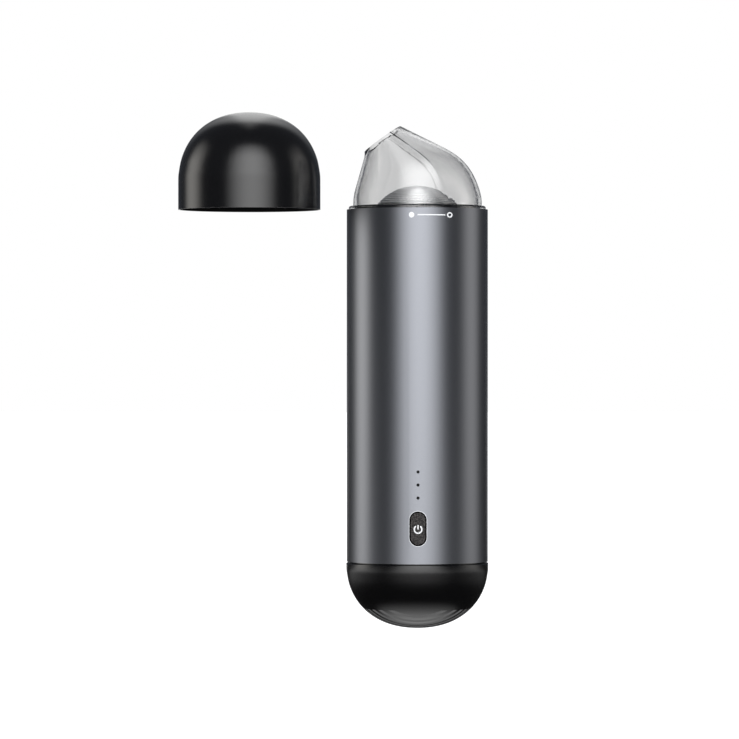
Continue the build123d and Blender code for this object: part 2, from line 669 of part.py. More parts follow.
def diffuser():
    ring_r = FAN_IN_R - FIT
    hub_r = MOTOR_R + DIFFUSER_HUB_EDGE
    plate_low = DIFFUSER_TOP - DIFFUSER_PLATE
    body = disc(DIFFUSER_PLATE_R, plate_low, DIFFUSER_TOP)
    body += disc(hub_r, DIFFUSER_TOP - DIFFUSER_HUB, DIFFUSER_TOP)
    body += ring(ring_r, ring_r - DIFFUSER_RING, FAN_BOTTOM, plate_low - 1.0)
    span = ring_r - DIFFUSER_RING / 2
    path = ThreePointArc((hub_r - 0.5, 0), (span * 0.72, span * 0.2), (span * 0.84, span * 0.54))
    vane = extrude(trace(path, VANE_THICKNESS), plate_low + 0.5 - FAN_BOTTOM)
    for piece in around(DIFFUSER_VANES, Pos(0, 0, FAN_BOTTOM) * vane):
        body += piece & ring(span, MOTOR_R + FIT, FAN_BOTTOM, DIFFUSER_TOP)
    body -= disc(BUSHING_BOSS_R + FIT, MOTOR_TOP - 1, DIFFUSER_TOP + 1)
    for x in (-MOTOR_SCREW_R, MOTOR_SCREW_R):
        body -= Pos(x, 0, 0) * disc(SCREW_R + FIT, MOTOR_TOP - 1, DIFFUSER_TOP + 1)
        body -= Pos(x, 0, 0) * disc(SCREW_HEAD_R + FIT, DIFFUSER_TOP - SCREW_HEAD, DIFFUSER_TOP + 1)
    return body


def motor_screws():
    grip = DIFFUSER_HUB - SCREW_HEAD + MOTOR_WALL
    return [Pos(x, 0, DIFFUSER_TOP - SCREW_HEAD) * screw(grip)
            for x in (-MOTOR_SCREW_R, MOTOR_SCREW_R)]


def impeller():
    wheel = disc(IMPELLER_R, IMPELLER_BOTTOM, IMPELLER_BOTTOM + IMPELLER_PLATE)
    wheel += disc(IMPELLER_HUB_R, IMPELLER_BOTTOM, IMPELLER_TOP)
    path = ThreePointArc((IMPELLER_HUB_R - 0.5, 0), (IMPELLER_R * 0.6, -IMPELLER_R * 0.12),
                         (IMPELLER_R * 0.82, -IMPELLER_R * 0.54))
    height = IMPELLER_HEIGHT - BLADE_BELOW_HUB
    blade = Pos(0, 0, IMPELLER_BOTTOM) * extrude(trace(path, VANE_THICKNESS), height)
    for piece in around(IMPELLER_BLADES, blade):
        wheel += piece
    return wheel - disc(SHAFT_R + RUNNING, IMPELLER_BOTTOM - 1, IMPELLER_TOP + 1)


def impeller_nut():
    nut = extrude(Pos(0, 0, IMPELLER_TOP) * RegularPolygon(NUT_R, 6), NUT_HEIGHT)
    return nut - disc(SHAFT_R + RUNNING, IMPELLER_TOP - 1, IMPELLER_TOP + NUT_HEIGHT + 1)


# Motor

def motor_can():
    can = ring(MOTOR_R, MOTOR_R - MOTOR_WALL, MOTOR_BOTTOM + END_BELL / 2, MOTOR_TOP)
    can += ring(MOTOR_R, BUSHING_R + RUNNING, MOTOR_TOP - MOTOR_WALL, MOTOR_TOP)
    can += ring(BUSHING_BOSS_R, BUSHING_R + RUNNING, MOTOR_TOP - MOTOR_WALL,
                MOTOR_TOP + BUSHING_LENGTH - 2 * MOTOR_WALL)
    for x in (-MOTOR_SCREW_R, MOTOR_SCREW_R):
        can -= Pos(x, 0, 0) * disc(SCREW_R + RUNNING, MOTOR_TOP - MOTOR_WALL - 1, MOTOR_TOP + 1)
    return can


def motor_magnets():
    inside = MOTOR_R - MOTOR_WALL - RUNNING
    low = ARMATURE_Z - MAGNET_LENGTH / 2
    return [sector(inside, inside - MAGNET_THICKNESS, low, low + MAGNET_LENGTH, side, MAGNET_ARC)
            for side in (0, 180)]


def bushing(bottom):
    return ring(BUSHING_R, SHAFT_R + RUNNING, bottom, bottom + BUSHING_LENGTH)


def shaft_bushings():
    upper = bushing(MOTOR_TOP - 2 * MOTOR_WALL)
    return [upper, bushing(LOWER_BUSHING)]


def motor_end_bell():
    inside = MOTOR_R - MOTOR_WALL - RUNNING
    top = MOTOR_BOTTOM + END_BELL
    bell = disc(MOTOR_R, MOTOR_BOTTOM, MOTOR_BOTTOM + END_BELL / 2) + disc(inside, MOTOR_BOTTOM, top)
    brush_out = COMMUTATOR_R + FIT + BRUSH_LENGTH
    half = BRUSH_SIZE / 2 + BRUSH_BOX_WALL
    box = Box(BRUSH_BOX_DEPTH, 2 * half, COMMUTATOR_Z + half - MOTOR_BOTTOM - END_BELL / 2, align=LOW)
    for x in (-brush_out, brush_out):
        bell += Pos(x, 0, MOTOR_BOTTOM + END_BELL / 2) * box
    bell -= brush_blocks(FIT / 2)
    return bell - disc(BUSHING_R + RUNNING, MOTOR_BOTTOM - 1, top + 1)


def brush_blocks(spare):
    half = BRUSH_SIZE / 2 + spare
    start = COMMUTATOR_R + FIT
    end = start + BRUSH_LENGTH + spare
    low = COMMUTATOR_Z - half
    high = COMMUTATOR_Z + half
    return [block(start, end, -half, half, low, high), block(-end, -start, -half, half, low, high)]


def motor_brushes():
    return brush_blocks(0)


def motor_shaft():
    return disc(SHAFT_R, LOWER_BUSHING + FIT, IMPELLER_TOP + NUT_HEIGHT + SHAFT_END)


def armature_core():
    low = ARMATURE_Z - ARMATURE_LENGTH / 2
    high = low + ARMATURE_LENGTH
    core = disc(ARMATURE_HUB_R, low, high)
    half = POLE_WIDTH / 2
    arm = block(ARMATURE_HUB_R - 1, ARMATURE_R - POLE_TIP / 2, -half, half, low, high)
    tip_arc = 360 / ARMATURE_POLES - 14
    tip = sector(ARMATURE_R, ARMATURE_R - POLE_TIP, low, high, 0, tip_arc)
    for piece in around(ARMATURE_POLES, arm) + around(ARMATURE_POLES, tip):
        core += piece
    return core - disc(SHAFT_R + RUNNING, low - 1, high + 1)


def armature_windings():
    inner = ARMATURE_HUB_R + FIT
    near = WINDING_WIDTH / 2 / sin(pi / ARMATURE_POLES) + FIT
    outer = sqrt((ARMATURE_R - POLE_TIP - FIT)**2 - (WINDING_WIDTH / 2)**2)
    low = ARMATURE_Z - ARMATURE_LENGTH / 2
    high = low + ARMATURE_LENGTH
    half = WINDING_WIDTH / 2
    coil = block(max(inner, near), outer, -half, half, low - WINDING_OVERHANG, high + WINDING_OVERHANG)
    hole = POLE_WIDTH / 2 + FIT / 2
    coil -= block(0, ARMATURE_R, -hole, hole, low - FIT / 2, high + FIT / 2)
    return around(ARMATURE_POLES, coil)


def commutator():
    low = COMMUTATOR_Z - COMMUTATOR_LENGTH / 2
    high = COMMUTATOR_Z + COMMUTATOR_LENGTH / 2
    return ring(COMMUTATOR_R, SHAFT_R + RUNNING, low, high)


def motor_mount():
    low = CHASSIS_DECK_LEVEL + CHASSIS_DECK / 2 - MOTOR_MOUNT_HEIGHT / 2
    sleeve = ring(MOUNT_R, MOTOR_R + FIT, low, low + MOTOR_MOUNT_HEIGHT)
    groove_low = CHASSIS_DECK_LEVEL - FIT
    groove = ring(MOUNT_R + 1, MOUNT_R - MOUNT_GROOVE, groove_low, CHASSIS_DECK_LEVEL + CHASSIS_DECK + FIT)
    return sleeve - groove


# Chassis halves, battery and its holders

def chassis_shell():
    shell = ring(LINER_R, CHASSIS_IN_R, CHASSIS_BOTTOM, CHASSIS_TOP)
    shell += ring(LINER_R, CHASSIS_IN_R - CHASSIS_TOP_RIM, CHASSIS_TOP - CHASSIS_DECK, CHASSIS_TOP)
    deck_r = MOUNT_R - MOUNT_GROOVE + FIT
    level = CHASSIS_DECK_LEVEL
    shell += ring(CHASSIS_IN_R + 0.5, deck_r, level, level + CHASSIS_DECK)
    vent = Pos((deck_r + CHASSIS_IN_R) / 2, 0, 0) * disc(DECK_VENT_R, level - 1, level + CHASSIS_DECK + 1)
    for piece in around(DECK_VENTS, vent, 180 / DECK_VENTS):
        shell -= piece
    for low in (HOLDER_LOW - HOLDER_LEDGE - FIT, HOLDER_HIGH + FIT):
        high = low + HOLDER_LEDGE
        ledge = ring(CHASSIS_IN_R + 0.5, CHASSIS_IN_R - HOLDER_LEDGE, low, high)
        ledge -= block(-HOLDER_LEDGE_X, HOLDER_LEDGE_X, -TUBE_R, TUBE_R, low - 1, high + 1)
        shell += ledge
    half = SCREW_BLOCK / 2
    for level in CHASSIS_SCREW_LEVELS:
        for side in (-1, 1):
            x = side * (CHASSIS_SCREW_X + LINER_R - 1.0 - half) / 2
            wide = LINER_R - 1.0 + half - CHASSIS_SCREW_X
            lug = Pos(x, 0, level) * Box(wide, 2 * SCREW_LENGTH, SCREW_BLOCK)
            shell += lug & disc(LINER_R - 0.5, CHASSIS_BOTTOM, CHASSIS_TOP)
    hook_top = HOOK_TOP + 2 * FIT
    arc = degrees(HOOK_WIDTH / CHASSIS_IN_R) + 1.0
    window = sector(LINER_R + 1, CHASSIS_IN_R - 0.5, hook_top - HOOK_HEIGHT - 4 * FIT, hook_top, 0, arc)
    for piece in around(HOOK_COUNT, window, 180 / HOOK_COUNT):
        shell -= piece
    return shell


def screw_spots():
    return [(side * CHASSIS_SCREW_X, level) for side in (-1, 1) for level in CHASSIS_SCREW_LEVELS]


def chassis_front():
    half = chassis_shell() & block(-TUBE_R, TUBE_R, -TUBE_R, -CHASSIS_SPLIT / 2,
                                   CHASSIS_BOTTOM - 1, CHASSIS_TOP + 1)
    for x in (-BOARD_SCREW_X, BOARD_SCREW_X):
        half += rod_y(2 * SCREW_R, x, BOARD_SCREW_Z, -LINER_R, BOARD_FRONT_Y) & disc(
            LINER_R - 0.2, CHASSIS_BOTTOM, CHASSIS_TOP)
        half -= rod_y(SCREW_R + RUNNING, x, BOARD_SCREW_Z, BOARD_FRONT_Y - BOARD_POST, BOARD_FRONT_Y + 1)
    for x, z in screw_spots():
        half -= rod_y(SCREW_R + FIT, x, z, -SCREW_LENGTH, 0)
        half -= rod_y(SCREW_HEAD_R + FIT, x, z, -LINER_R, -SCREW_LENGTH / 2)
    half -= stadium_y(HOLE_WIDTH, HOLE_HEIGHT, BUTTON_Z, -LINER_R - 1, -CHASSIS_IN_R / 2)
    for level in LIGHT_LEVELS:
        half -= rod_y(LIGHT_R + FIT, 0, level, -LINER_R - 1, -CHASSIS_IN_R / 2)
    return half


def chassis_rear():
    half = chassis_shell() & block(-TUBE_R, TUBE_R, CHASSIS_SPLIT / 2, TUBE_R,
                                   CHASSIS_BOTTOM - 1, CHASSIS_TOP + 1)
    for x, z in screw_spots():
        half -= rod_y(SCREW_R + RUNNING, x, z, 0, SCREW_LENGTH - 2.0)
    for side in (-1, 1):
        x = side * (PORT_BOARD_WIDTH - PORT_SHELF_WIDTH + 1.0) / 2
        top = PORT_BOARD_Z - PORT_BOARD / 2
        shelf = block(x - PORT_SHELF_WIDTH / 2, x + PORT_SHELF_WIDTH / 2,
                      PORT_FACE_Y - PORT_BOARD_LENGTH, LINER_R, top - PORT_SHELF, top)
        half += shelf & disc(LINER_R - 0.5, CHASSIS_BOTTOM, CHASSIS_TOP)
    return half - port_hole(TUBE_R) - port_board_space()


def port_board_space():
    half = PORT_BOARD_WIDTH / 2 + FIT
    return block(-half, half, 0, PORT_BOARD_BACK_Y + 1, PORT_BOARD_Z - PORT_BOARD / 2,
                 PORT_Z + PORT_HEIGHT / 2 + FIT)


def chassis_screws():
    return [Pos(x, -SCREW_LENGTH / 2, z) * Rot(90, 0, 0) * screw() for x, z in screw_spots()]


def cell_places():
    return [(side * CELL_SPACING / 2, CELL_Y) for side in (-1, 1)]


def cell_holder(bottom, top, recess_bottom, recess_top):
    """A round tray with a recess for each cell, notched in front for the board and the wires."""
    tray = disc(HOLDER_R, bottom, top)
    for x, y in cell_places():
        tray -= Pos(x, y, 0) * disc(CELL_R + FIT, recess_bottom, recess_top)
    tray -= block(-TUBE_R, TUBE_R, -TUBE_R, HOLDER_NOTCH_Y, bottom - 1, top + 1)
    vent = Pos(0, (CHASSIS_IN_R + CELL_Y + CELL_R) / 2, 0) * disc(DECK_VENT_R, bottom - 1, top + 1)
    return tray - vent


def cell_holder_lower():
    return cell_holder(HOLDER_LOW, CELL_BOTTOM + HOLDER_RECESS, HOLDER_LOW + HOLDER_FLOOR, CELL_TOP)


def cell_holder_upper():
    ceiling = HOLDER_HIGH - HOLDER_FLOOR
    return cell_holder(CELL_TOP - HOLDER_RECESS, HOLDER_HIGH, CELL_BOTTOM, ceiling)


def battery_cells():
    shoulder = CELL_TOP - CELL_TIP
    cell = disc(CELL_R, CELL_BOTTOM, shoulder) + disc(CELL_TIP_R, shoulder, CELL_TOP)
    return [Pos(x, y, 0) * cell for x, y in cell_places()]


def nickel_strips():
    half = STRIP_WIDTH / 2
    return [block(x - half, x + half, y - half, y + half, low, low + STRIP_THICKNESS)
            for low in (CELL_BOTTOM - STRIP_THICKNESS, CELL_TOP) for x, y in cell_places()]


# Button, lights and control board

def power_button():
    front = stadium_y(BUTTON_WIDTH, BUTTON_HEIGHT, BUTTON_Z, -TUBE_R - 1, BEZEL_REAR_Y + 0.5)
    crown = disc(TUBE_R, BOTTOM, TOP)
    wide = BUTTON_WIDTH + 2 * (BUTTON_FLANGE - FIT)
    tall = BUTTON_HEIGHT + 2 * (BUTTON_FLANGE - FIT)
    rear = BEZEL_REAR_Y + FIT
    flange = stadium_y(wide, tall, BUTTON_Z, rear, rear + BUTTON_FLANGE)
    nub = rod_y(PLUNGER_R, 0, BUTTON_Z, rear, PLUNGER_FRONT_Y - FIT / 2)
    return (front & crown) + flange + nub


def button_bezel():
    ring_out = stadium_y(BEZEL_WIDTH, BEZEL_HEIGHT, BUTTON_Z, -TUBE_R, BEZEL_REAR_Y)
    ring_out = ring_out & disc(TUBE_R - BEZEL_RECESS, BOTTOM, TOP)
    flange = stadium_y(FLANGE_WIDTH, FLANGE_HEIGHT, BUTTON_Z, FLANGE_FRONT_Y, BEZEL_REAR_Y)
    hole = stadium_y(BUTTON_WIDTH + 2 * BUTTON_GAP, BUTTON_HEIGHT + 2 * BUTTON_GAP, BUTTON_Z,
                     -TUBE_R - 1, BEZEL_REAR_Y + 1)
    return ring_out + flange - hole


def control_board():
    half = BOARD_WIDTH / 2
    board = block(-half, half, BOARD_FRONT_Y, BOARD_BACK_Y, BOARD_BOTTOM, BOARD_TOP)
    for x in (-BOARD_SCREW_X, BOARD_SCREW_X):
        board -= rod_y(SCREW_R + FIT, x, BOARD_SCREW_Z, BOARD_FRONT_Y - 1, BOARD_BACK_Y + 1)
    return board


def board_screws():
    return [Pos(x, BOARD_BACK_Y, BOARD_SCREW_Z) * Rot(-90, 0, 0) * screw(BOARD_THICKNESS + BOARD_SCREW_BITE)
            for x in (-BOARD_SCREW_X, BOARD_SCREW_X)]


def switch_body():
    half = SWITCH_SIZE / 2
    body = block(-half, half, SWITCH_FRONT_Y, BOARD_FRONT_Y, BUTTON_Z - half, BUTTON_Z + half)
    bore_end = BOARD_FRONT_Y - 0.3
    return body - rod_y(PLUNGER_R + FIT, 0, BUTTON_Z, SWITCH_FRONT_Y - 1, bore_end)


def switch_plunger():
    return rod_y(PLUNGER_R, 0, BUTTON_Z, PLUNGER_FRONT_Y, PLUNGER_FRONT_Y + PLUNGER_LENGTH)


def indicator_leds():
    chip = Box(LED_WIDTH, LED_DEPTH, LED_HEIGHT)
    return [Pos(0, BOARD_FRONT_Y - LED_DEPTH / 2, level) * chip for level in LIGHT_LEVELS]


def light_guide():
    bar_y = FLANGE_FRONT_Y + LIGHT_BAR_THICKNESS
    half = LIGHT_BAR_WIDTH / 2
    low = min(LIGHT_LEVELS) - half
    high = max(LIGHT_LEVELS) + half
    guide = block(-half, half, FLANGE_FRONT_Y, bar_y, low, high)
    led_face = BOARD_FRONT_Y - LED_DEPTH - FIT
    for level in LIGHT_LEVELS:
        guide += rod_y(LIGHT_R, 0, level, -TUBE_R, led_face) & disc(TUBE_R - FIT, BOTTOM, TOP)
    return guide


def wire_sockets():
    """The motor, battery and charging sockets on the back of the control board."""
    socket = Box(SOCKET_WIDTH, SOCKET_SIDE, SOCKET_SIDE)
    levels = (BOARD_TOP - SOCKET_PITCH, BOARD_TOP - 2 * SOCKET_PITCH, PORT_BOARD_Z)
    return [Pos(0, BOARD_BACK_Y + SOCKET_SIDE / 2, level) * socket for level in levels]


# Charging socket

def usb_socket():
    slot = SlotOverall(PORT_WIDTH, PORT_HEIGHT)
    shell = Pos(0, PORT_FACE_Y, PORT_Z) * extrude(Plane.XZ * slot, PORT_DEPTH)
    mouth = SlotOverall(PORT_WIDTH - 2 * PORT_SHELL, PORT_HEIGHT - 2 * PORT_SHELL)
    shell -= Pos(0, PORT_FACE_Y + 1, PORT_Z) * extrude(Plane.XZ * mouth, PORT_DEPTH)
    half = PORT_WIDTH / 2 - 1.2
    return shell + block(-half, half, PORT_FACE_Y - PORT_DEPTH + 0.5, PORT_FACE_Y - 1.0,
                         PORT_Z - PORT_TONGUE / 2, PORT_Z + PORT_TONGUE / 2)


def charging_board():
    half = PORT_BOARD_WIDTH / 2
    board = block(-half, half, PORT_BOARD_BACK_Y - PORT_BOARD_LENGTH, PORT_BOARD_BACK_Y,
                  PORT_BOARD_Z - PORT_BOARD / 2, PORT_BOARD_Z + PORT_BOARD / 2)
    return board & disc(CHASSIS_IN_R - FIT, CHASSIS_BOTTOM, TOP)


# Wires inside the body

def motor_leads():
    start = (MOTOR_LEAD_Y, MOTOR_BOTTOM)
    deck = HOLDER_HIGH + 2 * WIRE_R
    run_y = BOARD_BACK_Y + SOCKET_SIDE / 2
    end = (run_y, BOARD_TOP - SOCKET_PITCH + SOCKET_SIDE / 2)
    wires = []
    for x in (-WIRE_X, WIRE_X):
        path = FilletPolyline((x, *start), (x, MOTOR_LEAD_Y, deck), (x, run_y, deck), (x, *end),
                              radius=WIRE_BEND)
        wires.append(sweep(Plane((x, *start), z_dir=(0, 0, -1)) * Circle(WIRE_R), path=path))
    return wires


def charge_leads():
    back = PORT_BOARD_BACK_Y - PORT_BOARD_LENGTH
    return [rod_y(WIRE_R, x, PORT_BOARD_Z, SOCKET_BACK_Y, back) for x in (-WIRE_X, WIRE_X)]


def as_compound(shape):
    """One shape to write: a group of loose solids becomes a compound."""
    if isinstance(shape, list):
        return Compound(children=[solid for piece in shape for solid in piece.solids()])
    return shape


PIECES = [body_tube, tail_cap, exhaust_filter, cap, dust_cup, cup_seal, seat_collar, collar_screws,
          filter_frame, filter_dome, filter_pleats, filter_seal, fan_housing, intake_gasket,
          diffuser, motor_screws, impeller, impeller_nut, motor_can, motor_magnets,
          shaft_bushings, motor_end_bell, motor_brushes, motor_shaft, armature_core,
          armature_windings, commutator, motor_mount, chassis_front, chassis_rear,
          chassis_screws, cell_holder_lower, cell_holder_upper, battery_cells, nickel_strips,
          power_button, button_bezel, control_board, board_screws, switch_body, switch_plunger,
          indicator_leds, light_guide, wire_sockets, usb_socket, charging_board, motor_leads,
          charge_leads]

os.makedirs("parts", exist_ok=True)
for piece in PIECES:
    export_step(as_compound(piece()), "parts/" + piece.__name__ + ".step")
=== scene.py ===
import math

import bpy
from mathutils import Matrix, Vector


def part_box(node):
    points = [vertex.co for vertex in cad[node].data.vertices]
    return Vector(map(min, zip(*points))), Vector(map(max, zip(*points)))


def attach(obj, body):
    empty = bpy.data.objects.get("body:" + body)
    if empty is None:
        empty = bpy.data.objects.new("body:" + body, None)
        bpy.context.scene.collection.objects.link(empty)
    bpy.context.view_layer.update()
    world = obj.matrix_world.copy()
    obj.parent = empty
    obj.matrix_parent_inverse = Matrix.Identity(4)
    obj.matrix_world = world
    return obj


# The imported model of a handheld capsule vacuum: an aluminium tube with a black tail, a clear dust
# cup and a black cap beside it. Metres, +Z to the nozzle, the button faces -Y.
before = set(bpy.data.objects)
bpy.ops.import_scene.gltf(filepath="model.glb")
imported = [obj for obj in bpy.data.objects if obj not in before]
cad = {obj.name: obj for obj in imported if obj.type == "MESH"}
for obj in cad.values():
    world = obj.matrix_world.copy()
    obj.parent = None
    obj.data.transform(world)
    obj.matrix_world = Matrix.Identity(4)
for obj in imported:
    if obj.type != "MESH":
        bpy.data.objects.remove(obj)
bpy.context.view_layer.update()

# Battery: two cylindrical lithium cells, each shrink-wrapped in a thin PVC sleeve, which is dyed
# through and glossy, with slack ripples a few millimetres apart where it shrank.
MM = 0.001
GLOSS_SPREAD = 0.15


def linear(hex_colour):
    """An sRGB hex colour as linear red, green, blue and an alpha of 1."""
    channels = [int(hex_colour[k:k + 2], 16) / 255 for k in (1, 3, 5)]
    return (*[c / 12.92 if c <= 0.04045 else ((c + 0.055) / 1.055)**2.4 for c in channels], 1.0)


def add(tree, kind, inputs=None, **settings):
    """Add a node: its settings, then its inputs, each a plain value or another node's output."""
    made = tree.nodes.new(kind)
    for name, value in settings.items():
        setattr(made, name, value)
    for socket, value in (inputs or {}).items():
        if isinstance(value, bpy.types.NodeSocket):
            tree.links.new(value, made.inputs[socket])
        else:
            made.inputs[socket].default_value = value
    return made


def shaded(name, sockets):
    """A material of that name whose Principled shader has these socket values."""
    material = bpy.data.materials.new(name)
    material.use_nodes = True
    shader = material.node_tree.nodes["Principled BSDF"]
    for socket, value in sockets.items():
        shader.inputs[socket].default_value = value
    return material, material.node_tree, shader


def carve(tree, shader, height, hollow, top, depth):
    """Colour a surface by a height from 0 in its hollows to 1 at its tops, and raise the tops by a
    depth in mm."""
    tint = add(tree, "ShaderNodeMix", {0: height, 6: linear(hollow), 7: linear(top)},
               data_type="RGBA")
    bump = add(tree, "ShaderNodeBump", {"Height": height, "Distance": depth * MM})
    tree.links.new(tint.outputs[2], shader.inputs["Base Color"])
    tree.links.new(bump.outputs["Normal"], shader.inputs["Normal"])


def grained(name, light, dark, roughness, grain, depth, **sockets):
    """A material whose grain, of a size and depth in mm, mottles its colour, gloss and surface.
    Other sockets of its shader are named with _ for a space."""
    named = {key.replace("_", " "): value for key, value in sockets.items()}
    material, tree, shader = shaded(name, named)
    place = add(tree, "ShaderNodeTexCoord")
    noise = add(tree, "ShaderNodeTexNoise", {"Vector": place.outputs["Object"],
                                             "Scale": 1 / (grain * MM), "Detail": 3.0})
    carve(tree, shader, noise.outputs["Fac"], dark, light, depth)
    gloss = add(tree, "ShaderNodeMapRange", {"Value": noise.outputs["Fac"],
                                             "To Min": roughness * (1 - GLOSS_SPREAD),
                                             "To Max": roughness * (1 + GLOSS_SPREAD)})
    tree.links.new(gloss.outputs["Result"], shader.inputs["Roughness"])
    return material


def dress(material, *names):
    """Give CAD nodes a finish."""
    for name in names:
        cad[name].material_slots[0].material = material


dress(grained("cell_sleeve", "#2F6E9E", "#27608C", 0.3, 4.0, 0.03), "battery_cells")

# Strips that join the cells: bare nickel-plated steel, stamped, with the soft sheen of plating.
dress(grained("nickel", "#BDB9B0", "#AFABA2", 0.32, 0.6, 0.002, Metallic=1.0), "nickel_strips")

# Inner mouldings: the trays of the cells, the chassis halves, fan housing, diffuser, impeller,
# end bell, wire sockets, switch, seat collar and filter frame are ABS with a fine spark-eroded grain.
dress(grained("black_abs", "#1C1D1F", "#131415", 0.48, 0.35, 0.006),
      "cell_holder_lower", "cell_holder_upper", "chassis_front", "chassis_rear", "fan_housing",
      "diffuser", "impeller", "motor_end_bell", "wire_sockets", "switch_body", "switch_plunger",
      "seat_collar", "filter_frame")

# Steel pieces: zinc-plated screws and nut, the deep-drawn motor can, the ground shaft and the shell
# of the charging socket. Plating and drawing leave a fine grey mottle.
dress(grained("steel", "#A6A8AB", "#94969A", 0.3, 0.4, 0.002, Metallic=1.0),
      "collar_screws", "chassis_screws", "board_screws", "motor_screws", "impeller_nut",
      "motor_can", "motor_shaft", "usb_socket")

# Magnets: two arcs of sintered ferrite, matt and charcoal grey, with the grain of pressed powder.
dress(grained("ferrite", "#47474A", "#343437", 0.7, 0.25, 0.01), "motor_magnets")

# Bushings: bronze powder, pressed and sintered and soaked with oil, so brown and softly bright.
dress(grained("sintered_bronze", "#A9834F", "#8B6A3E", 0.42, 0.2, 0.006, Metallic=1.0),
      "shaft_bushings")

# Brushes: pressed carbon, near black and dull.
dress(grained("carbon", "#26262A", "#18181A", 0.6, 0.15, 0.004), "motor_brushes")


# Armature: laminations of silicon steel 0.5 mm thick, stacked on the shaft, whose edges show as
# fine rings round the poles. Drawn at 0.5 mm, as they are.
def banded(name, light, dark, roughness, axis, pitch, depth):
    """A metal of fine bands along one axis, at a pitch and depth in mm."""
    material, tree, shader = shaded(name, {"Metallic": 1.0, "Roughness": roughness})
    place = add(tree, "ShaderNodeTexCoord")
    bands = add(tree, "ShaderNodeTexWave", {"Vector": place.outputs["Object"],
                                            "Scale": math.pi / 10 / (pitch * MM)},
                bands_direction=axis)
    carve(tree, shader, bands.outputs["Fac"], dark, light, depth)
    return material


dress(banded("lamination_steel", "#8E9094", "#5C5E62", 0.4, "Z", 0.5, 0.03), "armature_core")

# Windings and commutator: enamelled copper wire, wound side by side about 0.4 mm thick, and copper
# bars turned smooth. The enamel deepens the copper to an orange brown.
dress(banded("copper", "#C07A48", "#7E4526", 0.3, "Z", 0.4, 0.1), "armature_windings",
      "commutator")

# Soft seals and the motor's mount: moulded silicone rubber, matt and charcoal.
dress(grained("silicone", "#303235", "#26282A", 0.62, 0.5, 0.008), "cup_seal", "filter_seal",
      "intake_gasket", "motor_mount")

# Filter medium: pleated white paper of pressed fibres, soft and quite matt.
dress(grained("filter_paper", "#ECEAE2", "#DAD7CC", 0.9, 0.3, 0.02), "filter_pleats")


# Exhaust filter: reticulated open foam, dark grey, with round pores about 0.8 mm wide.
# The pores are painted near black, as painted shade for the depth inside them.
def pored(name, light, dark, pore, depth):
    """A foam whose pores, of a width and depth in mm, are painted darker than its thin walls, as shade.
    """
    material, tree, shader = shaded(name, {"Roughness": 0.95})
    place = add(tree, "ShaderNodeTexCoord")
    cells = add(tree, "ShaderNodeTexVoronoi", {"Vector": place.outputs["Object"],
                                               "Scale": 1 / (pore * MM)},
                feature="DISTANCE_TO_EDGE")
    pore_shade_mask = add(tree, "ShaderNodeMapRange", {"Value": cells.outputs["Distance"], "From Max": 0.25,
                                            "To Min": 1.0, "To Max": 0.0})
    carve(tree, shader, pore_shade_mask.outputs["Result"], dark, light, depth)
    return material


dress(pored("open_foam", "#3A3C40", "#121315", 0.8, 0.3), "exhaust_filter")


# Circuit boards: glass-fibre laminate under green solder mask, with copper tracks that show through
# as slightly lighter straight lines about 1 mm apart.
def tracked(name, mask, track, pitch, depth):
    """A board whose tracks, at a pitch and depth in mm, show through its mask."""
    material, tree, shader = shaded(name, {"Roughness": 0.35})
    place = add(tree, "ShaderNodeTexCoord")
    tracks = add(tree, "ShaderNodeTexBrick", {"Vector": place.outputs["Object"],
                                              "Color1": linear(mask), "Color2": linear(mask),
                                              "Mortar": linear(track), "Row Height": 0.25,
                                              "Scale": 0.25 / (pitch * MM), "Mortar Size": 0.03})
    bump = add(tree, "ShaderNodeBump", {"Height": tracks.outputs["Fac"], "Distance": depth * MM})
    tree.links.new(tracks.outputs["Color"], shader.inputs["Base Color"])
    tree.links.new(bump.outputs["Normal"], shader.inputs["Normal"])
    return material


dress(tracked("circuit_board", "#1D5A3A", "#2F7A52", 1.0, 0.02), "control_board", "charging_board")

# Indicator lights: pale epoxy chips, and the smoked guide that carries their light to the three
# holes in the tube. Its face is etched matt, near black and weakly reflecting, so it looks black while
# the lights are off; this near black also stands as painted shade for the recessed holes.
dress(grained("led_epoxy", "#E8E2B8", "#D9D2A2", 0.35, 0.3, 0.002), "indicator_leds")
dress(grained("light_guide_plastic", "#08090B", "#050607", 0.75, 0.8, 0.002, IOR=1.4),
      "light_guide")


# Wires: copper strands in PVC, one of each pair red and the other black, extruded smooth.
def paired(name, minus, plus):
    """An insulation in one colour on the left of the axis and another on its right."""
    material, tree, shader = shaded(name, {"Roughness": 0.4})
    place = add(tree, "ShaderNodeTexCoord")
    across = add(tree, "ShaderNodeSeparateXYZ", {"Vector": place.outputs["Object"]})
    side = add(tree, "ShaderNodeMath", {0: across.outputs["X"], 1: 0.0}, operation="GREATER_THAN")
    tint = add(tree, "ShaderNodeMix", {0: side.outputs[0], 6: linear(minus), 7: linear(plus)},
               data_type="RGBA")
    tree.links.new(tint.outputs[2], shader.inputs["Base Color"])
    return material


dress(paired("wire_insulation", "#17181A", "#A32A22"), "motor_leads", "charge_leads")

# Body tube: drawn aluminium, bead-blasted, then anodised and dyed a cool mid grey. Blasting leaves a
# satin grain about 0.1 mm wide, drawn here at 0.3 mm, coarse enough to show.
dress(grained("anodised_aluminium", "#7E8085", "#787A7F", 0.31, 0.3, 0.0012, Metallic=1.0),
      "body_tube")

# Tail and cap: ABS moulded in tools of a fine satin polish, near black, with soft highlights. The
# cap's core was left etched, so it is quite matt inside, where its faces look at its middle, and there
# its reflection is cut to a fifth as painted shade, so the inside of the cap looks dark.
CAP_MIDDLE = (-79.8 * MM, 0.0, 105.0 * MM)
CORE_ROUGHER = 0.6
SPECULAR = 0.5
INSIDE_SHADE_SPECULAR = 0.1

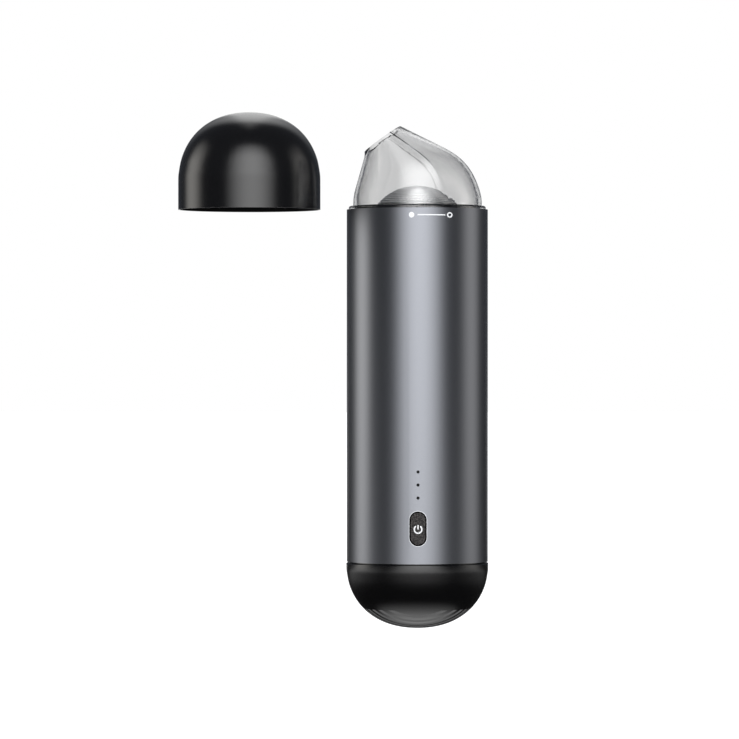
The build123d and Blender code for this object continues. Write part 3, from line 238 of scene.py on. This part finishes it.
satin_abs = grained("gloss_black_abs", "#070708", "#050506", 0.2, 0.4, 0.001, IOR=1.6)
dress(satin_abs, "tail_cap")
cored_abs = satin_abs.copy()
cored_abs.name = "gloss_black_abs_cored"
tree = cored_abs.node_tree
shader = tree.nodes["Principled BSDF"]
place = add(tree, "ShaderNodeTexCoord")
outward = add(tree, "ShaderNodeVectorMath", {0: place.outputs["Object"], 1: CAP_MIDDLE},
              operation="SUBTRACT")
face = add(tree, "ShaderNodeNewGeometry")
facing = add(tree, "ShaderNodeVectorMath", {0: outward.outputs[0], 1: face.outputs["Normal"]},
             operation="DOT_PRODUCT")
inside = add(tree, "ShaderNodeMath", {0: facing.outputs["Value"], 1: 0.0}, operation="LESS_THAN")
gloss = shader.inputs["Roughness"].links[0].from_socket
etched = add(tree, "ShaderNodeMath", {0: inside.outputs[0], 1: CORE_ROUGHER, 2: gloss},
             operation="MULTIPLY_ADD")
# Inside, the specular level drops to a fifth: painted shade for the dark inside of the cap.
inside_shade = add(tree, "ShaderNodeMapRange", {"Value": inside.outputs[0], "To Min": SPECULAR,
                                        "To Max": INSIDE_SHADE_SPECULAR})
tree.links.new(etched.outputs[0], shader.inputs["Roughness"])
tree.links.new(inside_shade.outputs["Result"], shader.inputs["Specular IOR Level"])
dress(cored_abs, "cap")

# Bezel: a thin ring of the same black ABS round the button, from an etched tool, so quite matt. Near
# black and almost without reflection, it is painted shade for the shadow in the gap round the button.
dress(grained("gap_shade_black_abs", "#030303", "#010101", 0.8, 0.3, 0.004, Specular_IOR_Level=0.02),
      "button_bezel")


# Power button: ABS from a coarsely etched tool, warm charcoal, with a crisp stipple whose hollows hold
# painted shade, near black under its tops. It is drawn 0.4 mm wide and 0.1 mm deep, coarser than it is,
# so that it shows.
def stippled(name, top, hollow, roughness, size, depth):
    """A plastic with a stipple of a width and depth in mm, its hollows darkened by painted shade."""
    material, tree, shader = shaded(name, {"Roughness": roughness})
    place = add(tree, "ShaderNodeTexCoord")
    noise = add(tree, "ShaderNodeTexNoise", {"Vector": place.outputs["Object"],
                                             "Scale": 1 / (2 * size * MM), "Detail": 2.0})
    crisp = add(tree, "ShaderNodeMapRange", {"Value": noise.outputs["Fac"], "From Min": 0.4,
                                             "From Max": 0.6}, interpolation_type="SMOOTHSTEP")
    carve(tree, shader, crisp.outputs["Result"], hollow, top, depth)
    return material


dress(stippled("textured_button", "#3B3736", "#030202", 0.65, 0.42, 0.1), "power_button")

# Filter dome: a thin shell of stainless steel, spun over a form and finely mottled. Its turning lines
# run round the axis, so light spreads across them into a bright wedge.
mesh_steel = grained("filter_mesh_steel", "#FBFBFB", "#F0F1F1", 0.33, 0.4, 0.001, Metallic=1.0,
                     Anisotropic=0.6)
tree = mesh_steel.node_tree
around = add(tree, "ShaderNodeTangent", direction_type="RADIAL", axis="Z")
tree.links.new(around.outputs["Tangent"], tree.nodes["Principled BSDF"].inputs["Tangent"])
dress(mesh_steel, "filter_dome")


# Dust cup: clear polycarbonate, moulded in a polished tool, 2 mm thick. Its faint smoke tint lies in
# its surface and in its depth, so it is deepest where a wall is seen edge on.
def clear_plastic(name, colour, tint, density):
    """A clear plastic that tints light as it enters, and more the further it goes."""
    material, tree, shader = shaded(name, {"Base Color": linear(colour), "Roughness": 0.03,
                                           "IOR": 1.64, "Transmission Weight": 1.0})
    smoke = add(tree, "ShaderNodeVolumeAbsorption", {"Color": linear(tint), "Density": density})
    tree.links.new(smoke.outputs[0], tree.nodes["Material Output"].inputs["Volume"])
    return material


dress(clear_plastic("clear_polycarbonate", "#F0F0F0", "#B6B8BA", 45.0), "dust_cup")

# Lock marks: a dot, a line and a ring, pad-printed in white ink just under the tube's edge, to show
# which way the cup turns. Each is a film of ink that follows the tube.
TUBE_R = 33.5 * MM
MARK_Z = 80.03 * MM
MARK_DOT = 1.28 * MM
MARK_DOT_TURN = -5.2
MARK_RING = 1.28 * MM
MARK_RING_STROKE = 0.54 * MM
MARK_RING_TURN = 26.4
MARK_LINE_TURNS = (-0.4, 22.4)
MARK_LINE = 0.54 * MM
LINE_STEPS = 24
DISC_SIDES = 64
INK = 0.05 * MM
white_ink = grained("white_ink", "#F4F5F6", "#E6E8EA", 0.55, 0.5, 0.002)


def settle(name, body, material):
    """Name the finished piece at hand, give it its material and let it ride on a CAD body."""
    piece = bpy.context.object
    piece.name = name
    piece.data.materials.clear()
    piece.data.materials.append(material)
    # A material gets .001 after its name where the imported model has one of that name.
    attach(piece, body)


def flat_disc(radius, x, z, front, fill):
    """A disc or circle that faces -Y, as far in front of the axis as it says."""
    bpy.ops.object.select_all(action="DESELECT")
    bpy.ops.mesh.primitive_circle_add(vertices=DISC_SIDES, radius=radius, fill_type=fill,
                                      location=(x, -front, z), rotation=(math.pi / 2, 0, 0))
    bpy.ops.object.transform_apply(location=True, rotation=True, scale=True)


def hollow_out(stroke):
    """Turn the flat disc at hand into a ring of that stroke."""
    bpy.ops.object.mode_set(mode="EDIT")
    bpy.ops.mesh.select_all(action="SELECT")
    bpy.ops.mesh.inset(thickness=stroke, depth=0)
    bpy.ops.mesh.delete(type="FACE")
    bpy.ops.object.mode_set(mode="OBJECT")


def flat_bar(x, z, front, width, height, steps):
    """An oblong that faces -Y, cut across its width into steps, so that it can follow a curve."""
    bpy.ops.object.select_all(action="DESELECT")
    bpy.ops.mesh.primitive_grid_add(x_subdivisions=steps, y_subdivisions=2, size=1,
                                    location=(x, -front, z), rotation=(math.pi / 2, 0, 0))
    bpy.context.object.scale = (width, height, 1)
    bpy.ops.object.transform_apply(location=True, rotation=True, scale=True)


def print_on(node):
    """Lay the flat shape at hand on a CAD node, as a film as thick as the ink."""
    piece = bpy.context.object
    hug = piece.modifiers.new("hug", "SHRINKWRAP")
    hug.target = cad[node]
    hug.wrap_method = "PROJECT"
    hug.use_project_y = True
    film = piece.modifiers.new("film", "SOLIDIFY")
    film.thickness = INK
    film.offset = 1.0
    bpy.ops.object.modifier_apply(modifier="hug")
    bpy.ops.object.modifier_apply(modifier="film")


def round_tube(degrees):
    """How far out to +X a point of the tube's front lies, at an angle round it."""
    return TUBE_R * math.sin(math.radians(degrees))


flat_disc(MARK_DOT, round_tube(MARK_DOT_TURN), MARK_Z, TUBE_R, "TRIFAN")
print_on("body_tube")
settle("lock_dot", "main", white_ink)

line_ends = [round_tube(turn) for turn in MARK_LINE_TURNS]
flat_bar(sum(line_ends) / 2, MARK_Z, TUBE_R, line_ends[1] - line_ends[0], MARK_LINE, LINE_STEPS)
print_on("body_tube")
settle("lock_line", "main", white_ink)

flat_disc(MARK_RING, round_tube(MARK_RING_TURN), MARK_Z, TUBE_R, "NGON")
hollow_out(MARK_RING_STROKE)
print_on("body_tube")
settle("lock_ring", "main", white_ink)

# Power symbol: an open ring with a bar at its top, pad-printed in white ink on the button. It is drawn
# flat, a millimetre in front of the tube, and then laid on the button.
SYMBOL_Z = -67.2 * MM
SYMBOL_R = 2.08 * MM
SYMBOL_STROKE = 0.62 * MM
SYMBOL_BAR = 0.55 * MM
SYMBOL_GAP = 33.0
IN_FRONT = TUBE_R + MM

flat_disc(SYMBOL_R, 0, SYMBOL_Z, IN_FRONT, "NGON")
hollow_out(SYMBOL_STROKE)
arc = bpy.context.object
for face in arc.data.polygons:
    from_top = math.degrees(math.atan2(abs(face.center.x), face.center.z - SYMBOL_Z))
    face.select = from_top < SYMBOL_GAP
for edge in arc.data.edges:
    edge.select = False
bpy.ops.object.mode_set(mode="EDIT")
bpy.ops.mesh.delete(type="FACE")
bpy.ops.object.mode_set(mode="OBJECT")
flat_bar(0, SYMBOL_Z + SYMBOL_R / 2, IN_FRONT, SYMBOL_BAR, SYMBOL_R, 2)
arc.select_set(True)
bpy.ops.object.join()
print_on("power_button")
settle("power_symbol", "button", white_ink)

# Rim of the button's hole: the anodised tube was milled after dyeing, which leaves a bright edge of
# bare aluminium about 0.2 mm wide round the bezel. It starts just outside the hole. Being flat, this
# bright ring is also a painted highlight for the glint of the hole's chamfer.
HOLE_Z = -66.94 * MM
HOLE_WIDTH = 8.15 * MM
HOLE_HEIGHT = 16.3 * MM
RIM = 0.2 * MM
RIM_GAP = 0.02 * MM

flat_disc(HOLE_WIDTH / 2 + RIM, 0, HOLE_Z, IN_FRONT, "NGON")
for corner in bpy.context.object.data.vertices:
    corner.co.z += math.copysign((HOLE_HEIGHT - HOLE_WIDTH) / 2, corner.co.z - HOLE_Z)
hollow_out(RIM - RIM_GAP)
print_on("body_tube")
settle("button_hole_rim", "main",
       grained("cut_aluminium", "#C9CBCE", "#B4B6B9", 0.34, 0.3, 0.001, Metallic=1.0))

# Wires of the filter dome: rings of round stainless wire, crimped as in woven cloth and welded to it
# side by side. The real ones lie about 0.5 mm apart, drawn at 1.3 mm, coarse enough to show.
DOME_SIDE = 1.4 * MM
DOME_LOW, DOME_TOP = [corner.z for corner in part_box("filter_dome")]
DOME_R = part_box("filter_dome")[1].x
DOME_RISE = DOME_TOP - DOME_LOW - DOME_SIDE
DOME_BALL = (DOME_R**2 + DOME_RISE**2) / (2 * DOME_RISE)
WIRE_R = 0.6 * MM
WIRE_PITCH = 1.3 * MM
WIRE_SIDES = 10
CRIMP = 0.05 * MM
CRIMPS = 48
STEPS_PER_CRIMP = 6
INWARD = 0.35  # the share of a pitch by which each ring lies nearer the middle

wires = []
edge_angle = math.asin(DOME_R / DOME_BALL)
count = int(edge_angle * DOME_BALL / WIRE_PITCH)
for k in range(1, count + 1):
    lean = edge_angle * (k - INWARD) / count
    bpy.ops.object.select_all(action="DESELECT")
    bpy.ops.mesh.primitive_torus_add(
        major_radius=DOME_BALL * math.sin(lean), minor_radius=WIRE_R,
        major_segments=CRIMPS * STEPS_PER_CRIMP, minor_segments=WIRE_SIDES,
        location=(0, 0, DOME_TOP - DOME_BALL * (1 - math.cos(lean))))
    bpy.ops.object.transform_apply(location=True, rotation=True, scale=True)
    for point in bpy.context.object.data.vertices:
        turn = math.atan2(point.co.y, point.co.x)
        point.co.z += CRIMP * math.cos(CRIMPS * turn + math.pi * k)
    wires.append(bpy.context.object)
for ring in wires:
    ring.select_set(True)
bpy.context.view_layer.objects.active = wires[0]
bpy.ops.object.join()
bpy.ops.object.shade_smooth()
settle("filter_wires", "filter", mesh_steel)

# Camera: a long lens in front of the tube, level, a little left of it.
lens = bpy.data.cameras.new("camera")
lens.lens = 221.7
lens.clip_end = 50.0
camera = bpy.data.objects.new("camera", lens)
camera.location = (-0.0227, -2.162, 0.0076)
camera.rotation_euler = (math.pi / 2, 0, 0)
bpy.context.scene.collection.objects.link(camera)
bpy.context.scene.camera = camera
bpy.context.scene.view_settings.view_transform = "Standard"

# Lamps: soft boxes round the object, a broad one in front, one at each side and one high behind, each
# brightest in the middle. The camera doesn't see them, nor does it through the clear cup.
LAMP_DISTANCE = 1.6
FADE_UP = 0.45
WHITE = "#FFFFFF"


def unbounced(tree, path):
    """1 for a ray that has met nothing but clear plastic since it left the camera, and 0 later."""
    bounces = add(tree, "ShaderNodeMath", {0: path.outputs["Glossy Depth"],
                                           1: path.outputs["Diffuse Depth"]}, operation="ADD")
    direct = add(tree, "ShaderNodeMath", {0: bounces.outputs[0], 1: 0.5}, operation="LESS_THAN")
    return direct.outputs[0]


def soft_box(name, azimuth, width, low, high, radiance, colour, fade):
    """A soft box at an azimuth from -Y towards +X, from one height to another, which fades to its
    sides over a share of its width."""
    lamp = bpy.data.lights.new(name, "AREA")
    lamp.shape = "RECTANGLE"
    lamp.size = width
    lamp.size_y = high - low
    lamp.energy = radiance * math.pi * width * (high - low)
    lamp.color = linear(colour)[:3]
    lamp.use_nodes = True
    tree = lamp.node_tree
    path = add(tree, "ShaderNodeLightPath")
    through = add(tree, "ShaderNodeMath", {0: unbounced(tree, path),
                                           1: path.outputs["Is Transmission Ray"]},
                  operation="MULTIPLY")
    shown = add(tree, "ShaderNodeMath", {0: 1.0, 1: through.outputs[0]}, operation="SUBTRACT")
    spot = add(tree, "ShaderNodeNewGeometry")
    sides = add(tree, "ShaderNodeSeparateXYZ", {"Vector": spot.outputs["Parametric"]})
    strength = shown.outputs[0]
    for side, share in (("X", fade), ("Y", FADE_UP)):
        left = add(tree, "ShaderNodeMath", {0: 1.0, 1: sides.outputs[side]}, operation="SUBTRACT")
        inward = add(tree, "ShaderNodeMath", {0: sides.outputs[side], 1: left.outputs[0]},
                     operation="MINIMUM")
        soft = add(tree, "ShaderNodeMapRange", {"Value": inward.outputs[0], "From Max": share},
                   interpolation_type="SMOOTHSTEP")
        strength = add(tree, "ShaderNodeMath", {0: strength, 1: soft.outputs["Result"]},
                       operation="MULTIPLY").outputs[0]
    tree.links.new(strength, tree.nodes["Emission"].inputs["Strength"])
    placed = bpy.data.objects.new(name, lamp)
    turn = math.radians(azimuth)
    placed.location = (LAMP_DISTANCE * math.sin(turn), -LAMP_DISTANCE * math.cos(turn),
                       (low + high) / 2)
    placed.rotation_euler = (math.pi / 2, 0, turn)
    placed.visible_camera = False
    bpy.context.scene.collection.objects.link(placed)


soft_box("front_box", azimuth=3, width=3.25, low=-1.3, high=2.9, radiance=3.5, colour=WHITE,
         fade=0.49)
soft_box("left_box", azimuth=-102, width=1.5, low=-1.0, high=1.6, radiance=2.05,
         colour="#FFFCF6", fade=0.45)
soft_box("right_box", azimuth=97, width=1.6, low=-1.0, high=1.6, radiance=1.1,
         colour="#FFFCF7", fade=0.45)
soft_box("rear_box", azimuth=180, width=2.7, low=0.2, high=4.6, radiance=1.45, colour=WHITE,
         fade=0.45)

# World: white to the camera, also through the clear cup, and a pale fill in the shadows. Mirrored, it is
# a dark room with a white strip that rises behind the object and widens overhead. Light that turns
# inside the cup's wall finds the white as a round patch behind, up to 37 degrees off.
ROOM = "#484B52"
FILL = "#9A9CA0"
STRIP_TAPER = 10.7
TAPER_PER_RISE = -9.3
STRIP_EDGE = (-0.12, 0.38)
STRIP_FOOT = (0.05, 0.2)
PATCH_EDGE = (0.8, 0.9)
FEW_TURNS = 2.5

world = bpy.data.worlds.new("studio")
world.use_nodes = True
bpy.context.scene.world = world
sky = world.node_tree
path = add(sky, "ShaderNodeLightPath")
direct = unbounced(sky, path)
place = add(sky, "ShaderNodeTexCoord")
axes = add(sky, "ShaderNodeSeparateXYZ", {"Vector": place.outputs["Generated"]})
side = add(sky, "ShaderNodeMath", {0: axes.outputs["X"]}, operation="ABSOLUTE")
taper = add(sky, "ShaderNodeMath", {0: axes.outputs["Z"], 1: TAPER_PER_RISE, 2: STRIP_TAPER},
            operation="MULTIPLY_ADD")
narrow = add(sky, "ShaderNodeMath", {0: side.outputs[0], 1: taper.outputs[0]},
             operation="MULTIPLY")
behind = add(sky, "ShaderNodeMath", {0: axes.outputs["Y"], 1: narrow.outputs[0]},
             operation="SUBTRACT")
strip = add(sky, "ShaderNodeMapRange", {"Value": behind.outputs[0], "From Min": STRIP_EDGE[0],
                                        "From Max": STRIP_EDGE[1]},
            interpolation_type="SMOOTHSTEP")
patch = add(sky, "ShaderNodeMapRange", {"Value": axes.outputs["Y"], "From Min": PATCH_EDGE[0],
                                        "From Max": PATCH_EDGE[1]},
            interpolation_type="SMOOTHSTEP")
few = add(sky, "ShaderNodeMath", {0: path.outputs["Transmission Depth"], 1: FEW_TURNS},
          operation="LESS_THAN")
turned = add(sky, "ShaderNodeMath", {0: path.outputs["Is Transmission Ray"], 1: few.outputs[0]},
             operation="MULTIPLY")
above = add(sky, "ShaderNodeMapRange", {"Value": axes.outputs["Z"], "From Min": STRIP_FOOT[0],
                                        "From Max": STRIP_FOOT[1]},
            interpolation_type="SMOOTHSTEP")
overhead = add(sky, "ShaderNodeMath", {0: strip.outputs["Result"], 1: above.outputs["Result"]},
               operation="MULTIPLY")
glow = add(sky, "ShaderNodeMix", {0: turned.outputs[0], 2: overhead.outputs[0],
                                  3: patch.outputs["Result"]})
studio = add(sky, "ShaderNodeMix", {0: glow.outputs[0], 6: linear(ROOM), 7: linear(WHITE)},
             data_type="RGBA")
filled = add(sky, "ShaderNodeMix", {0: path.outputs["Is Diffuse Ray"], 6: studio.outputs[2],
                                    7: linear(FILL)}, data_type="RGBA")
shown = add(sky, "ShaderNodeMix", {0: direct, 6: filled.outputs[2], 7: linear(WHITE)},
            data_type="RGBA")
sky.links.new(shown.outputs[2], sky.nodes["Background"].inputs["Color"])

# Floor: a pale sheet below the object, white to the camera but with the object's soft shadow, and clear
# from below, like a glass table. Mirrored, it shows painted light: dark, white far behind, and painted
# pools of light before the object, at its left and right, and close under it.
FLOOR_Z = -0.2
BACK_TAPER = 2.0

bpy.ops.object.select_all(action="DESELECT")
bpy.ops.mesh.primitive_plane_add(size=40, location=(0, 0, FLOOR_Z))
floor = bpy.context.object
floor.name = "floor"
bpy.ops.object.transform_apply(location=True, rotation=True, scale=True)
material, tree, shader = shaded("pale_floor", {"Base Color": linear("#E0E0E0"), "Roughness": 0.9})
path = add(tree, "ShaderNodeLightPath")
place = add(tree, "ShaderNodeTexCoord")
axes = add(tree, "ShaderNodeSeparateXYZ", {"Vector": place.outputs["Object"]})
side = add(tree, "ShaderNodeMath", {0: axes.outputs["X"]}, operation="ABSOLUTE")
narrow = add(tree, "ShaderNodeMath", {0: side.outputs[0], 1: BACK_TAPER}, operation="MULTIPLY")
behind = add(tree, "ShaderNodeMath", {0: axes.outputs["Y"], 1: narrow.outputs[0]},
             operation="SUBTRACT")
back = add(tree, "ShaderNodeMapRange", {"Value": behind.outputs[0], "From Min": 0.1,
                                        "From Max": 1.6, "To Min": 0.02, "To Max": 0.6},
           interpolation_type="SMOOTHSTEP")
glow = back.outputs["Result"]
# Painted pools of light, seen only in reflections.
for middle, full, gone, strength in (((0.07, -1.35, FLOOR_Z), 0.5, 1.25, 2.0),
                                     ((-1.35, 0.2, FLOOR_Z), 0.2, 1.2, 1.2),
                                     ((1.35, 0.1, FLOOR_Z), 0.2, 1.2, 0.7),
                                     ((0.0, 0.027, FLOOR_Z), 0.01, 0.105, 1.5)):
    away = add(tree, "ShaderNodeVectorMath", {0: place.outputs["Object"], 1: middle},
               operation="DISTANCE")
    painted_pool = add(tree, "ShaderNodeMapRange", {"Value": away.outputs["Value"], "From Min": full,
                                            "From Max": gone, "To Min": strength, "To Max": 0.0},
               interpolation_type="SMOOTHSTEP")
    glow = add(tree, "ShaderNodeMath", {0: glow, 1: painted_pool.outputs["Result"]},
               operation="ADD").outputs[0]
painted_mirror_glow = add(tree, "ShaderNodeEmission", {"Color": linear(WHITE), "Strength": glow})
reach = add(tree, "ShaderNodeVectorMath", {0: place.outputs["Object"]}, operation="LENGTH")
swept = add(tree, "ShaderNodeMapRange", {"Value": reach.outputs["Value"], "From Min": 0.15,
                                         "From Max": 0.9, "To Min": 0.42, "To Max": 1.0},
            interpolation_type="SMOOTHSTEP")
seen = add(tree, "ShaderNodeMath", {0: path.outputs["Is Camera Ray"],
                                    1: path.outputs["Is Transmission Ray"]}, operation="ADD")
shade = add(tree, "ShaderNodeMath", {0: swept.outputs["Result"], 1: seen.outputs[0]},
            operation="MULTIPLY")
plain = add(tree, "ShaderNodeEmission", {"Color": linear(WHITE), "Strength": shade.outputs[0]})
lit = add(tree, "ShaderNodeAddShader", {0: plain.outputs[0], 1: shader.outputs[0]})
mixed = add(tree, "ShaderNodeMixShader", {0: path.outputs["Is Glossy Ray"], 1: lit.outputs[0],
                                          2: painted_mirror_glow.outputs[0]})
facing = add(tree, "ShaderNodeNewGeometry")
clear = add(tree, "ShaderNodeBsdfTransparent", {"Color": linear(WHITE)})
sided = add(tree, "ShaderNodeMixShader", {0: facing.outputs["Backfacing"], 1: mixed.outputs[0],
                                          2: clear.outputs[0]})
tree.links.new(sided.outputs[0], tree.nodes["Material Output"].inputs["Surface"])
floor.data.materials.append(material)
